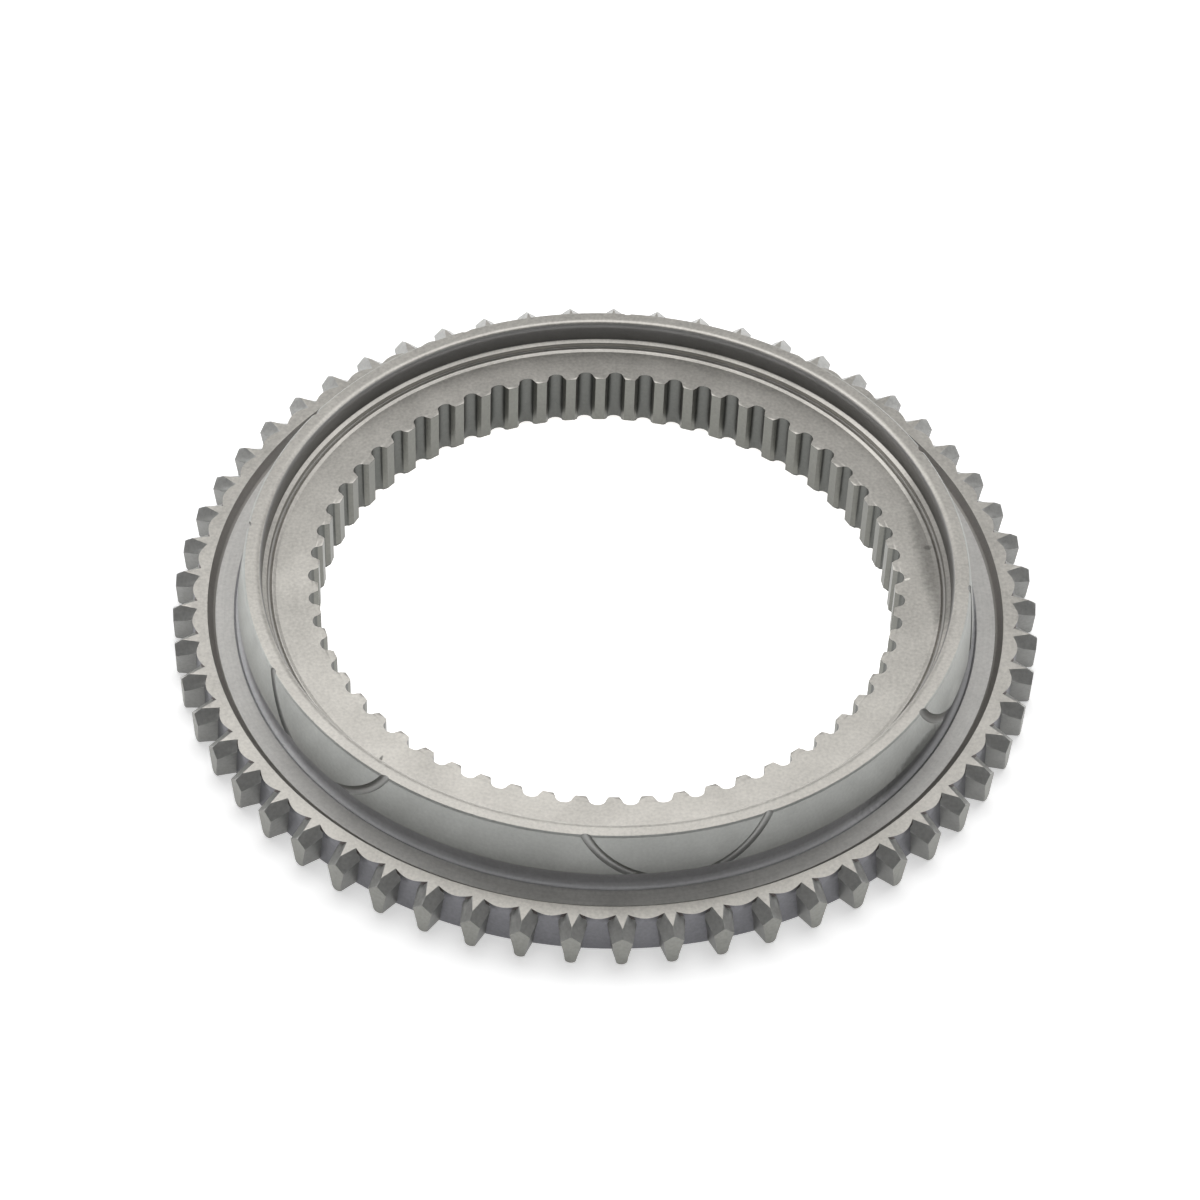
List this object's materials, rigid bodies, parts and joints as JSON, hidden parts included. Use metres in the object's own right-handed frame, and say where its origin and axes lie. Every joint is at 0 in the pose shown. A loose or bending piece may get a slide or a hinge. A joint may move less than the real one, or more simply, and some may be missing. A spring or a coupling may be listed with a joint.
{
  "type": "synchronizer cone",
  "caption": "One-piece steel synchronizer cone: a hollow friction cone with curved oil grooves on a flange of roof-pointed dog teeth, with a splined hub inside.",
  "frame": {"origin": "on the ring's axis, at the flat underside of the flange", "axes": "+Z along the ring's axis, from the flange towards the cone's top"},
  "size_m": [0.1744, 0.1744, 0.0199],
  "materials": {
    "steel": "satin, turned and ground"
  },
  "bodies": {
    "root": {"synchronizer_cone": "steel"}
  },
  "joints": []
}
